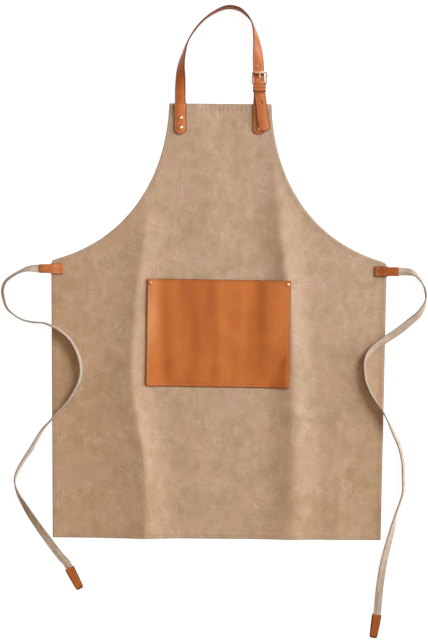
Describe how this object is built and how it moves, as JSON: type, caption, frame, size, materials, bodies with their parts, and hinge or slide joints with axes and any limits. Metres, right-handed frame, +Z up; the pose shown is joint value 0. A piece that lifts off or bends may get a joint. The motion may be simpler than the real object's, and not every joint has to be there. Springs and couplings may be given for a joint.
{
  "type": "bib work apron",
  "caption": "Bib apron lying flat: hemmed waxed-canvas panel, riveted leather front pocket, buckled leather neck strap and webbing waist ties with leather tips.",
  "frame": {"origin": "on the surface that the apron lies on, at the middle of the box of the apron without its free ties", "axes": "+Y from the hem to the neck, +X to the right as seen from above the front, +Z up, away from the surface"},
  "size_m": [0.828, 1.2273, 0.0212],
  "materials": {
    "canvas": "waxed cotton canvas, mottled and creased",
    "webbing": "woven cotton tape",
    "pocket_leather": "vegetable-tanned leather, soft sheen",
    "strap_leather": "bridle leather, satin",
    "brass": "polished, slightly dulled"
  },
  "bodies": {
    "root": {"panel": "canvas", "pocket": "pocket_leather", "pocket_rivet_left": "brass", "pocket_rivet_right": "brass", "neck_strap": "strap_leather", "buckle_strap": "strap_leather", "neck_rivet_left_upper": "brass", "neck_rivet_left_lower": "brass", "neck_rivet_right_upper": "brass", "neck_rivet_right_lower": "brass", "buckle_frame": "brass", "buckle_roller": "brass", "buckle_prong": "brass", "keeper": "strap_leather", "tie_tab_left": "strap_leather", "tie_left": "webbing", "tie_tip_left": "strap_leather", "tie_tab_right": "strap_leather", "tie_right": "webbing", "tie_tip_right": "strap_leather"}
  },
  "joints": []
}
